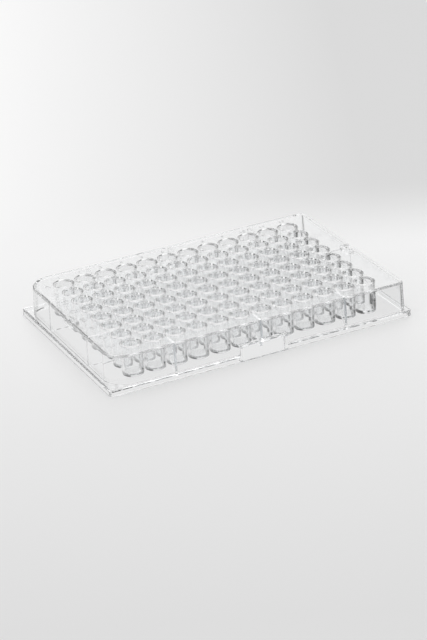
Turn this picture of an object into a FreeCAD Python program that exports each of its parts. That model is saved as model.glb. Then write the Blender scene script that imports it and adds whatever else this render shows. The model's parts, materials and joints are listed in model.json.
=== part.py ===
import FreeCAD, Part
import Sketcher
import math
import os
import re

# A 96-well flat-bottom plate, moulded in one piece of clear plastic.
# +X runs along the columns, 1 to 12; +Y runs towards row A; +Z is up.
# The origin is at the middle of the footprint, on the surface it stands on.

SIZES = {
    # Footprint and foot flange
    "plate_length": 127.76,
    "plate_width": 85.48,
    "plate_height": 14.4,
    "foot_height": 2.6,
    "foot_corner": 1.6,
    # How far the skirt's top edge lies inside the footprint
    "end_step": 2.2,
    "side_step": 1.75,
    "skirt_draft": 1.9,
    "keyed_corner": 8.8,
    "plain_corner": 1.6,
    # Sections
    "wall": 1.1,
    "deck_thickness": 1.2,
    # Wells
    "column_count": 12,
    "row_count": 8,
    "well_pitch": 9.0,
    "well_depth": 11.35,
    "bore_radius": 3.4,
    "well_wall": 0.7,
    "well_floor": 1.1,
    # Grip panels in the middle of the long sides
    "panel_length": 20.2,
    "panel_height": 6.95,
    # Webs between the skirt and the outer wells
    "web_thickness": 1.0,
    "gusset_spacing": 4,
    "gusset_foot": 1.6,
    "gusset_slope": 48.0,
    "end_web_row": 2,
    "end_web_foot": 2.1,
    # Gate recesses in the middle of the short sides
    "gate_width": 4.8,
    "gate_reach": 2.4,
    "gate_drop": 1.75,
}

# Places that several features share, worked out from the sheet
DECK_END = "(plate_length / 2 - end_step)"
DECK_SIDE = "(plate_width / 2 - side_step)"
IN_END_WALL = "(plate_length / 2 - end_step - wall / 2)"
IN_SIDE_WALL = "(plate_width / 2 - side_step - wall / 2)"
IN_PANEL = "(plate_width / 2 - wall / 2)"
IN_DECK = "(plate_height - deck_thickness / 2)"
LAST_COLUMN = "((column_count - 1) / 2 * well_pitch)"
LAST_ROW = "((row_count - 1) / 2 * well_pitch)"
TUBE_FOOT = "(plate_height - well_depth - well_floor)"
GATE_FLOOR = "(plate_height - gate_drop)"


def make_sheet(doc):
    sheet = doc.addObject("Spreadsheet::Sheet", "sizes")
    for row, (alias, size) in enumerate(SIZES.items(), start=1):
        sheet.set("A%d" % row, alias.replace("_", " "))
        sheet.set("B%d" % row, str(size))
        sheet.setAlias("B%d" % row, alias)
    doc.recompute()


def sized(text):
    """The text with each size's name turned into a reference to the sheet."""
    return re.sub(r"[a-z_]+", lambda word: "sizes." * (word[0] in SIZES) + word[0], text)


def bind(item, name, text):
    item.setExpression(name, sized(text))


def own_plane(body, role):
    return [plane for plane in body.Origin.OriginFeatures if plane.Role == role][0]


def add_sketch(body, name, plane, offset):
    """A sketch on one of the body's own planes, moved by offset along that plane's axes."""
    sketch = body.newObject("Sketcher::SketchObject", name)
    sketch.AttachmentSupport = [(own_plane(body, plane), "")]
    sketch.MapMode = "FlatFace"
    for axis, text in zip("xyz", offset):
        bind(sketch, "AttachmentOffset.Base." + axis, text)
    return sketch


def measure(sketch, text):
    return float(sketch.evalExpression(sized(text)))


def dimension(sketch, name, text, kind, *places):
    """A named constraint bound to the sheet."""
    index = sketch.addConstraint(Sketcher.Constraint(kind, *places, measure(sketch, text)))
    sketch.renameConstraint(index, name)
    bind(sketch, "Constraints." + name, text)


def draw_straight(sketch, corners):
    """A closed outline of straight lines. Each corner is an (x, y) pair of texts."""
    points = [FreeCAD.Vector(measure(sketch, x), measure(sketch, y), 0) for x, y in corners]
    for index, point in enumerate(points):
        sketch.addGeometry(Part.LineSegment(point, points[(index + 1) % len(points)]))
    for index, (x, y) in enumerate(corners):
        before = (index - 1) % len(corners)
        sketch.addConstraint(Sketcher.Constraint("Coincident", before, 2, index, 1))
        if x == corners[before][0]:
            sketch.addConstraint(Sketcher.Constraint("Vertical", before))
        else:
            dimension(sketch, "x%d" % index, x, "DistanceX", -1, 1, index, 1)
        if y == corners[before][1]:
            sketch.addConstraint(Sketcher.Constraint("Horizontal", before))
        else:
            dimension(sketch, "y%d" % index, y, "DistanceY", -1, 1, index, 1)


def draw_box(sketch, left, right, front, back):
    draw_straight(sketch, [(left, front), (right, front), (right, back), (left, back)])


def draw_rounded(sketch, half_length, half_width, left_radius, right_radius):
    """A centred rectangle with one radius at its two left corners and one at its two right ones."""
    right = measure(sketch, half_length)
    back = measure(sketch, half_width)
    for quarter, (side, end) in enumerate([(1, -1), (1, 1), (-1, 1), (-1, -1)]):
        radius = measure(sketch, right_radius if side > 0 else left_radius)
        centre = FreeCAD.Vector(side * (right - radius), end * (back - radius), 0)
        circle = Part.Circle(centre, FreeCAD.Vector(0, 0, 1), radius)
        start = (quarter - 1) * math.pi / 2
        sketch.addGeometry(Part.ArcOfCircle(circle, start, start + math.pi / 2))
    arcs = [arc.copy() for arc in sketch.Geometry]
    for quarter, arc in enumerate(arcs):
        sketch.addGeometry(Part.LineSegment(arc.EndPoint, arcs[(quarter + 1) % 4].StartPoint))
    for quarter in range(4):
        line = 4 + quarter
        upright = "Vertical" if quarter % 2 == 0 else "Horizontal"
        sketch.addConstraint(Sketcher.Constraint("Tangent", quarter, 2, line, 1))
        sketch.addConstraint(Sketcher.Constraint("Tangent", line, 2, (quarter + 1) % 4, 1))
        sketch.addConstraint(Sketcher.Constraint(upright, line))
    sketch.addConstraint(Sketcher.Constraint("Equal", 0, 1))
    sketch.addConstraint(Sketcher.Constraint("Equal", 2, 3))
    dimension(sketch, "right_radius", right_radius, "Radius", 0)
    dimension(sketch, "left_radius", left_radius, "Radius", 2)
    dimension(sketch, "right", half_length, "DistanceX", -1, 1, 4, 1)
    dimension(sketch, "back", half_width, "DistanceY", -1, 1, 5, 1)
    dimension(sketch, "left", "-" + half_length, "DistanceX", -1, 1, 6, 1)
    dimension(sketch, "front", "-" + half_width, "DistanceY", -1, 1, 7, 1)


def draw_circle(sketch, radius):
    """A circle about the sketch's origin."""
    circle = Part.Circle(FreeCAD.Vector(0, 0, 0), FreeCAD.Vector(0, 0, 1), measure(sketch, radius))
    sketch.addGeometry(circle)
    sketch.addConstraint(Sketcher.Constraint("Coincident", 0, 3, -1, 1))
    dimension(sketch, "radius", radius, "Radius", 0)


def add_feature(body, kind, sketch, length, draft="0", downwards=False, centred=False):
    """A pad or pocket of the sketch. A positive draft widens it as it goes."""
    feature = body.newObject("PartDesign::" + kind, sketch.Name.replace("_outline", ""))
    feature.Profile = sketch
    feature.Reversed = downwards != (kind == "Pocket")
    feature.Midplane = centred
    bind(feature, "Length", length)
    bind(feature, "TaperAngle", draft)
    body.Tip = feature
    return feature


def mirror(body, feature, plane):
    mirrored = body.newObject("PartDesign::Mirrored", "both_" + feature.Name)
    mirrored.Originals = [feature]
    mirrored.MirrorPlane = (own_plane(body, plane), [""])
    body.Tip = mirrored


def add_row_of(body, name, axis, length, count):
    """One direction of a pattern, for use in a MultiTransform."""
    row = body.newObject("PartDesign::LinearPattern", name)
    row.Direction = (own_plane(body, axis), [""])
    bind(row, "Length", length)
    bind(row, "Occurrences", count)
    return row


def make_foot(body):
    """The flange that the plate stands on, and the panels that rise flush with it."""
    outline = add_sketch(body, "foot_outline", "XY_Plane", ("0", "0", "0"))
    draw_rounded(outline, "(plate_length / 2)", "(plate_width / 2)", "foot_corner", "foot_corner")
    add_feature(body, "Pad", outline, "foot_height")
    outline = add_sketch(body, "grip_panels_outline", "XY_Plane", ("0", "0", "0"))
    draw_box(outline, "-panel_length / 2", "panel_length / 2", "-plate_width / 2", "plate_width / 2")
    add_feature(body, "Pad", outline, "panel_height")


def make_skirt(body):
    """The drafted skirt, with its two large corners at the column 1 end."""
    outline = add_sketch(body, "skirt_outline", "XY_Plane", ("0", "0", "plate_height"))
    draw_rounded(outline, DECK_END, DECK_SIDE, "keyed_corner", "plain_corner")
    add_feature(body, "Pad", outline, "plate_height", "skirt_draft", downwards=True)


def hollow_underside(body):
    """Leave the deck, the skirt's wall, the foot's ledge and the panels as an even shell."""
    outline = add_sketch(body, "skirt_hollow_outline", "XY_Plane", ("0", "0", "plate_height - deck_thickness"))
    draw_rounded(
        outline,
        "(plate_length / 2 - end_step - wall)",
        "(plate_width / 2 - side_step - wall)",
        "(keyed_corner - wall)",
        "(plain_corner - wall)",
    )
    add_feature(body, "Pocket", outline, "plate_height - deck_thickness", "skirt_draft", downwards=True)
    outline = add_sketch(body, "foot_hollow_outline", "XY_Plane", ("0", "0", "0"))
    draw_rounded(
        outline,
        "(plate_length / 2 - wall)",
        "(plate_width / 2 - wall)",
        "(foot_corner - wall)",
        "(foot_corner - wall)",
    )
    add_feature(body, "Pocket", outline, "foot_height - wall")
    outline = add_sketch(body, "panel_hollow_outline", "XY_Plane", ("0", "0", "0"))
    side = "(plate_width / 2 - wall)"
    draw_box(outline, "-(panel_length / 2 - wall)", "(panel_length / 2 - wall)", "-" + side, side)
    add_feature(body, "Pocket", outline, "panel_height - wall")


def make_gate_recesses(body):
    """A notch in the top edge of each short side, with its own floor under it."""
    seat_foot = GATE_FLOOR + " - deck_thickness"
    outline = add_sketch(body, "gate_seat_outline", "XY_Plane", ("0", "0", seat_foot))
    half_seat = "(gate_width / 2 + wall)"
    draw_box(outline, DECK_END + " - gate_reach - wall", IN_END_WALL, "-" + half_seat, half_seat)
    seat = add_feature(body, "Pad", outline, IN_DECK + " - (" + seat_foot + ")")
    mirror(body, seat, "YZ_Plane")
    outline = add_sketch(body, "gate_recess_outline", "XY_Plane", ("0", "0", "plate_height"))
    half_gate = "gate_width / 2"
    draw_box(outline, DECK_END + " - gate_reach", "plate_length / 2", "-" + half_gate, half_gate)
    recess = add_feature(body, "Pocket", outline, "gate_drop", downwards=True)
    mirror(body, recess, "YZ_Plane")


def make_gussets(body):
    """Slanted ribs from the long walls to the gap between two wells, front and back."""
    start = "-gusset_spacing * well_pitch"
    outline = add_sketch(body, "gusset_outline", "YZ_Plane", ("0", "0", start))
    rise = "tan(gusset_slope) * (" + IN_SIDE_WALL + " - " + LAST_ROW + ")"
    draw_straight(outline, [
        (IN_SIDE_WALL, "gusset_foot"),
        (IN_SIDE_WALL, IN_DECK),
        (LAST_ROW, IN_DECK),
        (LAST_ROW, "gusset_foot + " + rise),
    ])
    gusset = add_feature(body, "Pad", outline, "web_thickness", centred=True)
    gussets = body.newObject("PartDesign::MultiTransform", "gussets")
    along = add_row_of(body, "gusset_row", "X_Axis", "2 * gusset_spacing * well_pitch", "3")
    across = body.newObject("PartDesign::Mirrored", "gusset_sides")
    across.MirrorPlane = (own_plane(body, "XZ_Plane"), [""])
    gussets.Originals = [gusset]
    gussets.Transformations = [along, across]
    body.Tip = gussets
    outline = add_sketch(body, "panel_gusset_outline", "YZ_Plane", ("0", "0", "0"))
    draw_box(outline, IN_SIDE_WALL, IN_PANEL, "gusset_foot", "panel_height - wall / 2")
    mirror(body, add_feature(body, "Pad", outline, "web_thickness", centred=True), "XZ_Plane")


def make_end_webs(body):
    """Upright webs from the short walls to the gap between two wells."""
    place = ("0", "0", "end_web_row * well_pitch")
    outline = add_sketch(body, "end_web_outline", "XZ_Plane", place)
    draw_box(outline, "-" + IN_END_WALL, "-" + LAST_COLUMN, "end_web_foot", IN_DECK)
    mirror(body, add_feature(body, "Pad", outline, "web_thickness", centred=True), "XZ_Plane")
    outline = add_sketch(body, "gate_web_outline", "XZ_Plane", ("0", "0", "0"))
    draw_box(outline, LAST_COLUMN, IN_END_WALL, "end_web_foot", IN_DECK)
    add_feature(body, "Pad", outline, "web_thickness", centred=True)


def spread_over_grid(body, feature):
    """One copy of the feature for every well, by column and by row."""
    grid = body.newObject("PartDesign::MultiTransform", feature.Name + "s")
    columns = add_row_of(body, feature.Name + "_columns", "X_Axis", "2 * " + LAST_COLUMN, "column_count")
    rows = add_row_of(body, feature.Name + "_rows", "Y_Axis", "2 * " + LAST_ROW, "row_count")
    grid.Originals = [feature]
    grid.Transformations = [columns, rows]
    body.Tip = grid


def make_wells(body):
    """A tube under the deck for each well, then its bore, open at the top."""
    place = ("-" + LAST_COLUMN, "-" + LAST_ROW, IN_DECK)
    outline = add_sketch(body, "tube_outline", "XY_Plane", place)
    draw_circle(outline, "bore_radius + well_wall")
    length = IN_DECK + " - " + TUBE_FOOT
    tube = add_feature(body, "Pad", outline, length, downwards=True)
    spread_over_grid(body, tube)
    place = ("-" + LAST_COLUMN, "-" + LAST_ROW, "plate_height")
    outline = add_sketch(body, "bore_outline", "XY_Plane", place)
    draw_circle(outline, "bore_radius")
    bore = add_feature(body, "Pocket", outline, "well_depth", downwards=True)
    spread_over_grid(body, bore)


def export(doc, body):
    doc.recompute()
    for item in doc.Objects:
        if {"Invalid", "Error"} & set(item.State):
            raise RuntimeError(item.Name + " failed: " + ", ".join(item.State))
    shape = body.Shape
    if shape.isNull() or not shape.isValid() or len(shape.Solids) != 1:
        raise RuntimeError(body.Label + " is not one valid solid")
    os.makedirs("parts", exist_ok=True)
    shape.exportStep("parts/" + body.Label + ".step")


doc = FreeCAD.newDocument("well_plate")
make_sheet(doc)
plate = doc.addObject("PartDesign::Body", "plate")
plate.Label = "well_plate"
make_foot(plate)
make_skirt(plate)
hollow_underside(plate)
make_gate_recesses(plate)
make_gussets(plate)
make_end_webs(plate)
make_wells(plate)
export(doc, plate)
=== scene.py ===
import json
import math
import bmesh
import bpy
from mathutils import Matrix, Vector

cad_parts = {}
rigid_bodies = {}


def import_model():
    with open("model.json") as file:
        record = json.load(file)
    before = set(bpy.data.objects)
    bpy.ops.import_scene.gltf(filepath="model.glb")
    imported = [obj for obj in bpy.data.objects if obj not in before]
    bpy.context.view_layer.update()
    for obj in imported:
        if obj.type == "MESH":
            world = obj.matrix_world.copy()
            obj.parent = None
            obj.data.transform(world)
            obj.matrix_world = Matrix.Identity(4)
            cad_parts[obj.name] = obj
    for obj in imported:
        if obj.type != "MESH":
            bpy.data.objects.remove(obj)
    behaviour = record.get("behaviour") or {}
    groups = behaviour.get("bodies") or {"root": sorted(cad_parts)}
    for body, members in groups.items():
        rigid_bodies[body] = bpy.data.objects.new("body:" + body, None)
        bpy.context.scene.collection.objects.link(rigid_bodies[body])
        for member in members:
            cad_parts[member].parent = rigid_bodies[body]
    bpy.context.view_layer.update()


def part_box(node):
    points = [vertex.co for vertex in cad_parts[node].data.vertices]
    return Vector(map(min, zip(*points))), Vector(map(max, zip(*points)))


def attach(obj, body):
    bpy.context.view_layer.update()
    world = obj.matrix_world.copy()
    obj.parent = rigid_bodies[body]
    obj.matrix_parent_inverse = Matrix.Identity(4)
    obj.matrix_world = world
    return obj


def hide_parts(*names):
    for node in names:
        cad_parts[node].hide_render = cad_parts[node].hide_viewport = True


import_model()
mm = 0.001
cutPast = 1.0 * mm    # how far a cut runs on past the face it opens

# the plate's own sizes, in metres; the outside comes from the frame
low, high = (Vector(corner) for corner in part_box("well_plate"))
plate = {
    "halfLength": high.x,
    "halfWidth": high.y,
    "height": high.z,
    "footHeight": 2.6 * mm,
    "footCorner": 1.6 * mm,
    "endStep": 2.2 * mm,
    "sideStep": 1.75 * mm,
    "draft": math.tan(math.radians(1.9)),
    "keyedCorner": 8.8 * mm,
    "plainCorner": 1.6 * mm,
    "wall": 1.1 * mm,
    "deck": 1.2 * mm,
    "softEdge": 0.3 * mm,      # under the deck
    "smallEdge": 0.18 * mm,    # at the foot's underside and where the skirt meets it
    "deckEdge": 0.4 * mm,
    "footEdge": 0.45 * mm,
    "edgeSteps": 5,
    "leastCorner": 0.3 * mm,
    "cornerPoints": 9,
    "sharpAngle": 40,
    "faceWeight": 100,
}


# small mesh helpers

def meshObject(name, bm):
    bmesh.ops.recalc_face_normals(bm, faces=bm.faces)
    mesh = bpy.data.meshes.new(name)
    bm.to_mesh(mesh)
    bm.free()
    thing = bpy.data.objects.new(name, mesh)
    bpy.context.scene.collection.objects.link(thing)
    return thing


def loftLoops(name, loops):
    # a closed skin over loops of equal length, flat at both ends
    bm = bmesh.new()
    rings = [[bm.verts.new(point) for point in loop] for loop in loops]
    for lower, upper in zip(rings, rings[1:]):
        for i in range(len(lower)):
            j = (i + 1) % len(lower)
            bm.faces.new((lower[i], lower[j], upper[j], upper[i]))
    bm.faces.new(rings[0])
    bm.faces.new(rings[-1])
    return meshObject(name, bm)


def roundedLoop(halfLength, halfWidth, leftRadius, rightRadius, z):
    points = []
    corners = [(1, -1, rightRadius), (1, 1, rightRadius), (-1, 1, leftRadius), (-1, -1, leftRadius)]
    for quarter, (side, end, radius) in enumerate(corners):
        centre = Vector((side * (halfLength - radius), end * (halfWidth - radius), z))
        for step in range(plate["cornerPoints"]):
            angle = (quarter - 1 + step / (plate["cornerPoints"] - 1)) * math.pi / 2
            points.append(centre + Vector((math.cos(angle), math.sin(angle), 0)) * radius)
    return points


def spinProfile(name, profile, sides):
    # profile is (radius, z) pairs from one end to the other; both ends close flat
    turn = [2 * math.pi * i / sides for i in range(sides)]
    loops = []
    for radius, z in profile:
        loops.append([Vector((radius * math.cos(a), radius * math.sin(a), z)) for a in turn])
    return loftLoops(name, loops)


def arcPoints(centre, radius, start, end, steps):
    # (r, z) pairs along an arc, in degrees
    angles = [math.radians(start + (end - start) * i / steps) for i in range(steps + 1)]
    return [(centre[0] + radius * math.cos(a), centre[1] + radius * math.sin(a)) for a in angles]


def prism(name, outline, axis, centre, thickness):
    # outline is (u, v) pairs across the axis; the prism is centred on it
    places = {
        "x": lambda u, v, w: (w, u, v),
        "y": lambda u, v, w: (u, w, v),
        "z": lambda u, v, w: (u, v, w),
    }
    ends = (centre - thickness / 2, centre + thickness / 2)
    loops = [[Vector(places[axis](u, v, w)) for u, v in outline] for w in ends]
    return loftLoops(name, loops)


def box(name, lowCorner, highCorner):
    (x0, y0, z0), (x1, y1, z1) = lowCorner, highCorner
    return prism(name, [(x0, y0), (x1, y0), (x1, y1), (x0, y1)], "z", (z0 + z1) / 2, z1 - z0)


# the shell: deck, skirt, ledge and foot in one section

def makeShell():
    p = plate
    edge, small = p["softEdge"], p["smallEdge"]

    def loop(inset, z, foot=False):
        # inset is measured from the foot's outside, or from the skirt's drafted outside
        if foot:
            corner = max(p["footCorner"] - inset, p["leastCorner"])
            return roundedLoop(p["halfLength"] - inset, p["halfWidth"] - inset, corner, corner, z)
        grow = (p["height"] - z) * p["draft"] - inset
        keyed = max(p["keyedCorner"] + grow, p["leastCorner"])
        plain = max(p["plainCorner"] + grow, p["leastCorner"])
        length = p["halfLength"] - p["endStep"] + grow
        width = p["halfWidth"] - p["sideStep"] + grow
        return roundedLoop(length, width, keyed, plain, z)

    def roundedEdge(radius, top, foot=False):
        # loops round an outer edge, from the side up to the top
        turns = [math.radians(90 * step / p["edgeSteps"]) for step in range(p["edgeSteps"] + 1)]
        return [
            loop(radius * (1 - math.cos(turn)), top - radius * (1 - math.sin(turn)), foot)
            for turn in turns
        ]

    halfway = 1 - math.sqrt(0.5)    # how far in the middle of a quarter round lies
    half, smallHalf = edge * halfway, small * halfway
    ledge = p["footHeight"] - p["wall"]
    under = p["height"] - p["deck"]
    loops = [
        loop(p["wall"] + edge, under),
        loop(p["wall"] + half, under - half),
        loop(p["wall"], under - edge),
        loop(p["wall"], ledge),
        loop(p["wall"], ledge, foot=True),
        loop(p["wall"], small, foot=True),
        loop(p["wall"] - smallHalf, smallHalf, foot=True),
        loop(p["wall"] - small, 0, foot=True),
        loop(small, 0, foot=True),
        loop(smallHalf, smallHalf, foot=True),
        loop(0, small, foot=True),
    ]
    loops += roundedEdge(p["footEdge"], p["footHeight"], foot=True)
    loops += [
        loop(-small, p["footHeight"]),
        loop(-smallHalf, p["footHeight"] + smallHalf),
        loop(0, p["footHeight"] + small),
    ]
    loops += roundedEdge(p["deckEdge"], p["height"])
    return loftLoops("shell", loops)


# the wells: one tube and one bore, set out on the grid by geometry nodes

wells = {
    "columns": 12,
    "rows": 8,
    "pitch": 9 * mm,
    "depth": 11.35 * mm,
    "mouthRadius": 3.45 * mm,
    "floorRadius": 3.2 * mm,
    "wall": 0.7 * mm,
    "floor": 1.1 * mm,
    "mouthEdge": 0.1 * mm,
    "floorCorner": 0.35 * mm,
    "footCorner": 0.3 * mm,
    "root": 0.25 * mm,
    "thickerFoot": 0.12 * mm,    # added to the wall at the tube's lower end
    "tubeArcSteps": 2,
    "boreArcSteps": 3,
    "sides": 40,
}


def makeTubeForm():
    w = wells
    top = plate["height"]
    under = top - plate["deck"]
    foot = top - w["depth"] - w["floor"]
    outerTop = w["mouthRadius"] + w["wall"] + w["root"]
    outerFoot = w["floorRadius"] + w["wall"] + w["thickerFoot"]
    corner, steps = w["footCorner"], w["tubeArcSteps"]
    profile = [(outerTop, top - plate["deck"] / 2), (outerTop, under)]
    profile += arcPoints((outerTop, under - w["root"]), w["root"], 90, 180, steps)[1:]
    profile += arcPoints((outerFoot - corner, foot + corner), corner, 0, -90, steps)
    return spinProfile("tubeForm", profile, w["sides"])


def makeBoreForm():
    w = wells
    top = plate["height"]
    floor = top - w["depth"]
    mouth, corner, steps = w["mouthEdge"], w["floorCorner"], w["boreArcSteps"]
    profile = [(w["mouthRadius"] + mouth, top + cutPast)]
    profile += arcPoints((w["mouthRadius"] + mouth, top - mouth), mouth, 90, 180, steps)
    profile += arcPoints((w["floorRadius"] - corner, floor + corner), corner, 0, -90, steps)
    return spinProfile("boreForm", profile, w["sides"])


# panels, webs, gussets and gate recesses

details = {
    "panelHalf": 10.1 * mm,
    "panelHeight": 6.95 * mm,
    "web": 1.0 * mm,
    "gussetSpacing": 36 * mm,
    "gussetFoot": 1.6 * mm,
    "gussetSlope": math.radians(48),
    "endWebPlace": 18 * mm,
    "endWebFoot": 2.1 * mm,
    "gateHalf": 2.4 * mm,
    "gateReach": 2.4 * mm,
    "gateDrop": 1.75 * mm,
}


def makeAdditions():
    p, d, w = plate, details, wells
    inDeck = p["height"] - p["deck"] / 2
    inEnd = p["halfLength"] - p["endStep"] - p["wall"] / 2
    inSide = p["halfWidth"] - p["sideStep"] - p["wall"] / 2
    lastColumn = (w["columns"] - 1) / 2 * w["pitch"]
    lastRow = (w["rows"] - 1) / 2 * w["pitch"]
    rise = math.tan(d["gussetSlope"]) * (inSide - lastRow)
    seat = p["halfLength"] - p["endStep"] - d["gateReach"] - p["wall"]
    parts = []

    def webOutline(end):
        # from the skirt's end to the last wells
        return [
            (end * inEnd, d["endWebFoot"]),
            (end * lastColumn, d["endWebFoot"]),
            (end * lastColumn, inDeck),
            (end * inEnd, inDeck),
        ]

    for side in (-1, 1):
        lowY, highY = sorted((side * p["halfWidth"], side * inSide))
        parts.append(box("panel", (-d["panelHalf"], lowY, 0), (d["panelHalf"], highY, d["panelHeight"])))
        gusset = [
            (side * inSide, d["gussetFoot"]),
            (side * inSide, inDeck),
            (side * lastRow, inDeck),
            (side * lastRow, d["gussetFoot"] + rise),
        ]
        for step in (-1, 0, 1):
            parts.append(prism("gusset", gusset, "x", step * d["gussetSpacing"], d["web"]))
        parts.append(prism("endWeb", webOutline(-1), "y", side * d["endWebPlace"], d["web"]))
        lowX, highX = sorted((side * seat, side * inEnd))
        seatLow = (lowX, -d["gateHalf"] - p["wall"], p["height"] - d["gateDrop"] - p["deck"])
        parts.append(box("gateSeat", seatLow, (highX, d["gateHalf"] + p["wall"], inDeck)))
    parts.append(prism("gateWeb", webOutline(1), "y", 0, d["web"]))
    return parts


def makeCuts():
    p, d = plate, details
    throughSkirt = p["wall"] * 1.5    # the skirt's wall, and half as much again
    outer = p["halfWidth"] - p["wall"]
    inner = p["halfWidth"] - p["sideStep"] - throughSkirt
    reach = d["panelHalf"] - p["wall"]
    hollowTop = d["panelHeight"] - p["wall"]
    gateBack = p["halfLength"] - p["endStep"] - d["gateReach"]
    parts = []
    for side in (-1, 1):
        lowY, highY = sorted((side * outer, side * inner))
        parts.append(box("panelHollow", (-reach, lowY, -cutPast), (reach, highY, hollowTop)))
        lowX, highX = sorted((side * gateBack, side * (p["halfLength"] + cutPast)))
        gateLow = (lowX, -d["gateHalf"], p["height"] - d["gateDrop"])
        parts.append(box("gateRecess", gateLow, (highX, d["gateHalf"], p["height"] + cutPast)))
    return parts


# plain row letters and column numbers, sunk into the deck

marks = {
    "letterHeight": 3.0 * mm,
    "numberHeight": 2.0 * mm,
    "letterPlace": -56.9 * mm,
    "numberPlace": 36.6 * mm,
    "depth": 0.16 * mm,
    "weight": 0.012,
    "fontShare": 1.4,    # font size over the height of its capitals
    "curveSteps": 3,
    "mergeWithin": 0.001 * mm,
}


def makeMark(text, x, y, height):
    curve = bpy.data.curves.new("mark" + text, "FONT")
    curve.body = text
    curve.size = height * marks["fontShare"]
    curve.align_x = "CENTER"
    curve.align_y = "CENTER"
    curve.extrude = marks["depth"]
    curve.offset = marks["weight"] * height
    curve.resolution_u = marks["curveSteps"]
    writing = bpy.data.objects.new("mark" + text, curve)
    mesh = bpy.data.meshes.new_from_object(writing)
    mesh.transform(Matrix.Translation((x, y, plate["height"])))
    bm = bmesh.new()
    bm.from_mesh(mesh)
    bmesh.ops.remove_doubles(bm, verts=bm.verts, dist=marks["mergeWithin"])
    bpy.data.objects.remove(writing)
    bpy.data.curves.remove(curve)
    bpy.data.meshes.remove(mesh)
    return meshObject("mark" + text, bm)


def makeMarks():
    w, m = wells, marks
    parts = []
    for row in range(w["rows"]):
        y = ((w["rows"] - 1) / 2 - row) * w["pitch"]
        parts.append(makeMark(chr(ord("A") + row), m["letterPlace"], y, m["letterHeight"]))
    for column in range(w["columns"]):
        x = (column - (w["columns"] - 1) / 2) * w["pitch"]
        parts.append(makeMark(str(column + 1), x, m["numberPlace"], m["numberHeight"]))
    return parts


# the whole moulding in one geometry nodes tree

def gather(name, things):
    group = bpy.data.collections.new(name)
    for thing in things:
        bpy.context.scene.collection.objects.unlink(thing)
        group.objects.link(thing)
    return group


def makeMouldTree():
    tree = bpy.data.node_groups.new("mouldPlate", "GeometryNodeTree")
    inputs = {
        "Geometry": "Geometry",
        "Tube Form": "Object",
        "Bore Form": "Object",
        "Ribs": "Collection",
        "Cuts": "Collection",
        "Columns": "Int",
        "Rows": "Int",
        "Grid Length": "Float",
        "Grid Width": "Float",
        "Material": "Material",
    }
    for name, kind in inputs.items():
        tree.interface.new_socket(name, in_out="INPUT", socket_type="NodeSocket" + kind)
    tree.interface.new_socket("Geometry", in_out="OUTPUT", socket_type="NodeSocketGeometry")
    nodes, links = tree.nodes, tree.links
    start = nodes.new("NodeGroupInput")
    end = nodes.new("NodeGroupOutput")

    grid = nodes.new("GeometryNodeMeshGrid")
    links.new(start.outputs["Grid Length"], grid.inputs["Size X"])
    links.new(start.outputs["Grid Width"], grid.inputs["Size Y"])
    links.new(start.outputs["Columns"], grid.inputs["Vertices X"])
    links.new(start.outputs["Rows"], grid.inputs["Vertices Y"])

    def spread(form):
        info = nodes.new("GeometryNodeObjectInfo")
        info.inputs["As Instance"].default_value = True
        links.new(start.outputs[form], info.inputs["Object"])
        place = nodes.new("GeometryNodeInstanceOnPoints")
        links.new(grid.outputs["Mesh"], place.inputs["Points"])
        links.new(info.outputs["Geometry"], place.inputs["Instance"])
        solid = nodes.new("GeometryNodeRealizeInstances")
        links.new(place.outputs["Instances"], solid.inputs["Geometry"])
        return solid.outputs["Geometry"]

    def collected(name):
        info = nodes.new("GeometryNodeCollectionInfo")
        info.inputs["Separate Children"].default_value = True
        links.new(start.outputs[name], info.inputs["Collection"])
        return info.outputs["Instances"]

    join = nodes.new("GeometryNodeMeshBoolean")
    join.operation = "UNION"
    join.solver = "MANIFOLD"
    for part in (start.outputs["Geometry"], spread("Tube Form"), collected("Ribs")):
        links.new(part, join.inputs["Mesh 2"])
    carve = nodes.new("GeometryNodeMeshBoolean")
    carve.operation = "DIFFERENCE"
    carve.solver = "MANIFOLD"
    links.new(join.outputs["Mesh"], carve.inputs["Mesh 1"])
    for part in (spread("Bore Form"), collected("Cuts")):
        links.new(part, carve.inputs["Mesh 2"])
    real = nodes.new("GeometryNodeRealizeInstances")
    links.new(carve.outputs["Mesh"], real.inputs["Geometry"])
    finish = nodes.new("GeometryNodeSetMaterial")
    links.new(real.outputs["Geometry"], finish.inputs["Geometry"])
    links.new(start.outputs["Material"], finish.inputs["Material"])
    links.new(finish.outputs["Geometry"], end.inputs["Geometry"])
    return tree


def mouldPlate(material):
    shell = makeShell()
    tube = makeTubeForm()
    bore = makeBoreForm()
    ribs = gather("ribs", makeAdditions())
    cuts = gather("cuts", makeCuts() + makeMarks())
    values = {
        "Tube Form": tube,
        "Bore Form": bore,
        "Ribs": ribs,
        "Cuts": cuts,
        "Columns": wells["columns"],
        "Rows": wells["rows"],
        "Grid Length": (wells["columns"] - 1) * wells["pitch"],
        "Grid Width": (wells["rows"] - 1) * wells["pitch"],
        "Material": material,
    }
    tree = makeMouldTree()
    for thing in (shell, tube, bore):
        thing.data.materials.append(material)
    modifier = shell.modifiers.new("mould", "NODES")
    modifier.node_group = tree
    for item in tree.interface.items_tree:
        if item.in_out == "INPUT" and item.name in values:
            modifier[item.identifier] = values[item.name]
    ready = shell.evaluated_get(bpy.context.evaluated_depsgraph_get())
    mesh = bpy.data.meshes.new_from_object(ready)
    mesh.name = "clearPlate"
    piece = bpy.data.objects.new("clearPlate", mesh)
    bpy.context.scene.collection.objects.link(piece)
    for thing in [shell, tube, bore] + list(ribs.objects) + list(cuts.objects):
        bpy.data.objects.remove(thing)
    return piece


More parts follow.
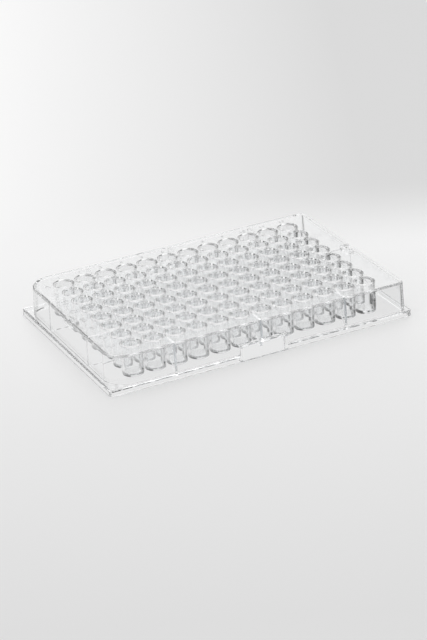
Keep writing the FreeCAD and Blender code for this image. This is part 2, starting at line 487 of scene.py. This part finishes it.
def smoothPiece(piece):
    mesh = piece.data
    mesh.shade_smooth()
    mesh.set_sharp_from_angle(angle=math.radians(plate["sharpAngle"]))
    weigh = piece.modifiers.new("weigh", "WEIGHTED_NORMAL")
    weigh.mode = "FACE_AREA"
    weigh.weight = plate["faceWeight"]
    weigh.keep_sharp = True
    ready = piece.evaluated_get(bpy.context.evaluated_depsgraph_get())
    smooth = bpy.data.meshes.new_from_object(ready)
    piece.modifiers.remove(weigh)
    piece.data = smooth
    bpy.data.meshes.remove(mesh)
    smooth.name = piece.name


# materials

plasticLook = {
    "tint": (0.99, 0.993, 0.995, 1),
    "ior": 1.585,
    "roughness": (0.0, 0.015),
    "patchSize": 60,
    "patchDetail": 3,
    "underRoughness": 0.12,    # the deck's grained underside
    "underBand": 0.05 * mm,
    "waveSize": 160,
    "waveDetail": 2,
    "waveDepth": 0.02 * mm,
    "waveStrength": 0.35,
}


def makeClearPlastic():
    look = plasticLook
    material = bpy.data.materials.new("clearPlastic")
    material.use_nodes = True
    nodes, links = material.node_tree.nodes, material.node_tree.links
    shader = nodes["Principled BSDF"]
    shader.inputs["Base Color"].default_value = look["tint"]
    shader.inputs["Transmission Weight"].default_value = 1
    shader.inputs["IOR"].default_value = look["ior"]
    place = nodes.new("ShaderNodeTexCoord")
    patches = nodes.new("ShaderNodeTexNoise")
    patches.inputs["Scale"].default_value = look["patchSize"]
    patches.inputs["Detail"].default_value = look["patchDetail"]
    links.new(place.outputs["Object"], patches.inputs["Vector"])
    spread = nodes.new("ShaderNodeMapRange")
    spread.inputs["To Min"].default_value = look["roughness"][0]
    spread.inputs["To Max"].default_value = look["roughness"][1]
    links.new(patches.outputs["Fac"], spread.inputs["Value"])
    height = nodes.new("ShaderNodeSeparateXYZ")
    links.new(place.outputs["Object"], height.inputs["Vector"])
    under = nodes.new("ShaderNodeMath")
    under.operation = "COMPARE"
    under.inputs[1].default_value = plate["height"] - plate["deck"]
    under.inputs[2].default_value = look["underBand"]
    links.new(height.outputs["Z"], under.inputs[0])
    grained = nodes.new("ShaderNodeMix")
    grained.inputs["B"].default_value = look["underRoughness"]
    links.new(under.outputs["Value"], grained.inputs["Factor"])
    links.new(spread.outputs["Result"], grained.inputs["A"])
    links.new(grained.outputs["Result"], shader.inputs["Roughness"])
    waves = nodes.new("ShaderNodeTexNoise")
    waves.inputs["Scale"].default_value = look["waveSize"]
    waves.inputs["Detail"].default_value = look["waveDetail"]
    links.new(place.outputs["Object"], waves.inputs["Vector"])
    bump = nodes.new("ShaderNodeBump")
    bump.inputs["Distance"].default_value = look["waveDepth"]
    bump.inputs["Strength"].default_value = look["waveStrength"]
    links.new(waves.outputs["Fac"], bump.inputs["Height"])
    links.new(bump.outputs["Normal"], shader.inputs["Normal"])
    return material


# the plate itself

piece = mouldPlate(makeClearPlastic())
smoothPiece(piece)
print("plate moulded:", len(piece.data.polygons), "faces")
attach(piece, "root")
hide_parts("well_plate")


# floor, light and camera; these two directions lie level, away from the camera and to its right

ahead = (0.419, 0.908, 0)
aside = (ahead[1], -ahead[0], 0)


def valueAlong(nodes, links, source, direction):
    dot = nodes.new("ShaderNodeVectorMath")
    dot.operation = "DOT_PRODUCT"
    dot.inputs[1].default_value = direction
    links.new(source, dot.inputs[0])
    return dot.outputs["Value"]


def ramp(nodes, links, source, start, end, soft=False):
    step = nodes.new("ShaderNodeMapRange")
    step.interpolation_type = "SMOOTHSTEP" if soft else "LINEAR"
    step.inputs["From Min"].default_value, step.inputs["To Min"].default_value = start
    step.inputs["From Max"].default_value, step.inputs["To Max"].default_value = end
    links.new(source, step.inputs["Value"])
    return step.outputs["Result"]


def combine(nodes, links, operation, first, second=None):
    step = nodes.new("ShaderNodeMath")
    step.operation = operation
    for socket, value in zip(step.inputs, (first, second)):
        if isinstance(value, (int, float)):
            socket.default_value = value
        elif value is not None:
            links.new(value, socket)
    return step.outputs["Value"]


def within(nodes, links, source, middle, reach, soft):
    # 1 up to reach on both sides of the middle, and softly down to 0 there
    away = combine(nodes, links, "ABSOLUTE", combine(nodes, links, "SUBTRACT", source, middle))
    return ramp(nodes, links, away, (reach - soft / 2, 1), (reach + soft / 2, 0), True)


floorLook = {
    "size": 6.0,
    "drop": 0.05 * mm,
    "colour": (0.9, 0.9, 0.9, 1),
    "roughness": 0.5,
    # the share of the painted light and shade glow that camera rays see; the lit floor, with the plate's
    # shadow, gives the rest
    "paintedLightShare": 0.6,
    # a distance in metres and the tone of the painted light and shade there, or at the horizon the
    # wall's share; darker near, lighter far, the wall lit to the left and shaded to the right
    "near": (-0.22, 0.74),
    "far": (0.06, 1.0),
    "litWallLeft": (-0.11, 1.08),
    "shadedWallRight": (0.07, 0.67),
    "horizon": ((0.05, 0), (0.13, 1)),
}


def makeFloor():
    # pale floor with painted light and shade: darker near, lighter towards a soft horizon, a lit wall to
    # the left and a shaded one to the right, shown to camera rays as a glow over the lit floor; clear
    # parts look down through it
    look = floorLook
    bm = bmesh.new()
    half = look["size"] / 2
    corners = [(-half, -half), (half, -half), (half, half), (-half, half)]
    bm.faces.new([bm.verts.new((x, y, -look["drop"])) for x, y in corners])
    floor = meshObject("floor", bm)
    material = bpy.data.materials.new("paleFloor")
    material.use_nodes = True
    nodes, links = material.node_tree.nodes, material.node_tree.links
    shader = nodes["Principled BSDF"]
    shader.inputs["Base Color"].default_value = look["colour"]
    shader.inputs["Roughness"].default_value = look["roughness"]
    place = nodes.new("ShaderNodeTexCoord").outputs["Object"]
    away = valueAlong(nodes, links, place, ahead)
    across = valueAlong(nodes, links, place, aside)
    paint = nodes.new("ShaderNodeMix")
    links.new(ramp(nodes, links, away, *look["horizon"], True), paint.inputs["Factor"])
    links.new(ramp(nodes, links, away, look["near"], look["far"]), paint.inputs["A"])
    links.new(ramp(nodes, links, across, look["litWallLeft"], look["shadedWallRight"]), paint.inputs["B"])
    # the painted light and shade glow here, for camera rays only
    seen = nodes.new("ShaderNodeEmission")
    links.new(paint.outputs["Result"], seen.inputs["Color"])
    clear = nodes.new("ShaderNodeBsdfTransparent")
    rays = nodes.new("ShaderNodeLightPath").outputs

    def over(share, below, above):
        mix = nodes.new("ShaderNodeMixShader")
        links.new(share, mix.inputs["Fac"])
        links.new(below, mix.inputs[1])
        links.new(above, mix.inputs[2])
        return mix.outputs["Shader"]

    painted = combine(nodes, links, "MULTIPLY", rays["Is Camera Ray"], look["paintedLightShare"])
    through = combine(nodes, links, "MAXIMUM", rays["Is Transmission Ray"], rays["Is Glossy Ray"])
    shown = over(painted, shader.outputs["BSDF"], seen.outputs["Emission"])
    shown = over(through, shown, clear.outputs["BSDF"])
    links.new(shown, nodes["Material Output"].inputs["Surface"])
    floor.data.materials.append(material)


room = {
    "level": (0.8, 0.86),      # straight ahead and straight behind
    "backdrop": 0.85,
    "bounces": 200,            # light stays caught in the deck for long
    # degrees to the right of ahead and above the horizon; a search program gave many of these
    "cards": {
        "rightTall": {"turn": 57, "halfWidth": 40, "height": (-13, 46), "soft": 7, "level": 0.0},
        "rightBehind": {"turn": 115, "halfWidth": 20, "height": (0, 46), "soft": 7, "level": 0.0},
        "rightLow": {"turn": 39, "halfWidth": 29, "height": (-28, -5), "soft": 4, "level": 0.0},
        "rightLowSide": {"turn": 76, "halfWidth": 16, "height": (-20, -5), "soft": 7, "level": 0.0},
        "rightGlow": {"turn": 88, "halfWidth": 24, "height": (-48, -20), "soft": 7, "level": 1.3},
        "behindLow": {"turn": 150, "halfWidth": 28, "height": (-22, -4), "soft": 7, "level": 0.0},
        "leftLow": {"turn": -115, "halfWidth": 75, "height": (-20, -6), "soft": 7, "level": 0.0},
        "leftTall": {"turn": -57, "halfWidth": 42, "height": (4, 46), "soft": 7, "level": 0.0},
        "aheadGlow": {"turn": 5, "halfWidth": 18, "height": (5, 45), "soft": 7, "level": 1.4},
    },
}


def makeWorld():
    # a pale room with soft cards round it: the dark ones draw the rims, two bright ones lighten them
    world = bpy.data.worlds.new("paleRoom")
    bpy.context.scene.world = world
    world.use_nodes = True
    nodes, links = world.node_tree.nodes, world.node_tree.links
    background = nodes["Background"]
    direction = nodes.new("ShaderNodeTexCoord").outputs["Generated"]
    height = combine(nodes, links, "ARCSINE", valueAlong(nodes, links, direction, (0, 0, 1)))
    away = valueAlong(nodes, links, direction, ahead)
    across = valueAlong(nodes, links, direction, aside)
    level = ramp(nodes, links, away, (1, room["level"][0]), (-1, room["level"][1]))
    turn = combine(nodes, links, "ARCTAN2", across, away)
    for card in room["cards"].values():
        soft = math.radians(card["soft"])
        low, high = [math.radians(angle) for angle in card["height"]]
        side = math.radians(card["halfWidth"])
        wide = within(nodes, links, turn, math.radians(card["turn"]), side, soft)
        tall = within(nodes, links, height, (low + high) / 2, (high - low) / 2, soft)
        covered = combine(nodes, links, "MULTIPLY", wide, tall)
        left = ramp(nodes, links, covered, (0, 1), (1, card["level"]))
        level = combine(nodes, links, "MULTIPLY", level, left)
    seen = nodes.new("ShaderNodeMix")
    links.new(nodes.new("ShaderNodeLightPath").outputs["Is Camera Ray"], seen.inputs["Factor"])
    links.new(level, seen.inputs["A"])
    seen.inputs["B"].default_value = room["backdrop"]
    links.new(seen.outputs["Result"], background.inputs["Color"])
    background.inputs["Strength"].default_value = 1


topLamp = {"place": (0.0, 0.35, 0.9), "size": (0.9, 0.7), "power": 2.5}


def makeLamp(name, settings):
    lamp = bpy.data.lights.new(name, "AREA")
    lamp.shape = "RECTANGLE"
    lamp.size, lamp.size_y = settings["size"]
    lamp.energy = settings["power"]
    thing = bpy.data.objects.new(name, lamp)
    thing.location = settings["place"]
    thing.rotation_euler = Vector(settings["place"]).to_track_quat("Z", "Y").to_euler()
    bpy.context.scene.collection.objects.link(thing)


view = {
    "azimuth": -24.795,
    "elevation": 25.341,
    "roll": -3.657,
    "distance": 0.927545,
    "target": (-8.702 * mm, -17.286 * mm, 7 * mm),
    "lens": 136.61,
    "sensor": 36,
    "clipStart": 0.01,
}


def makeCamera():
    azimuth, elevation, roll = [math.radians(view[angle]) for angle in ("azimuth", "elevation", "roll")]
    level = math.cos(elevation)
    back = Vector((math.sin(azimuth) * level, -math.cos(azimuth) * level, math.sin(elevation)))
    camera = bpy.data.cameras.new("camera")
    camera.lens = view["lens"]
    camera.sensor_width = view["sensor"]
    camera.clip_start = view["clipStart"]
    thing = bpy.data.objects.new("camera", camera)
    turn = back.to_track_quat("Z", "Y").to_matrix().to_4x4() @ Matrix.Rotation(roll, 4, "Z")
    thing.matrix_world = Matrix.Translation(Vector(view["target"]) + back * view["distance"]) @ turn
    bpy.context.scene.collection.objects.link(thing)
    bpy.context.scene.camera = thing


makeFloor()
makeWorld()
makeLamp("softTop", topLamp)
makeCamera()
scene = bpy.context.scene
scene.view_settings.view_transform = "Standard"
scene.cycles.max_bounces = room["bounces"]
scene.cycles.transmission_bounces = room["bounces"]
scene.cycles.glossy_bounces = room["bounces"]
print("studio ready")
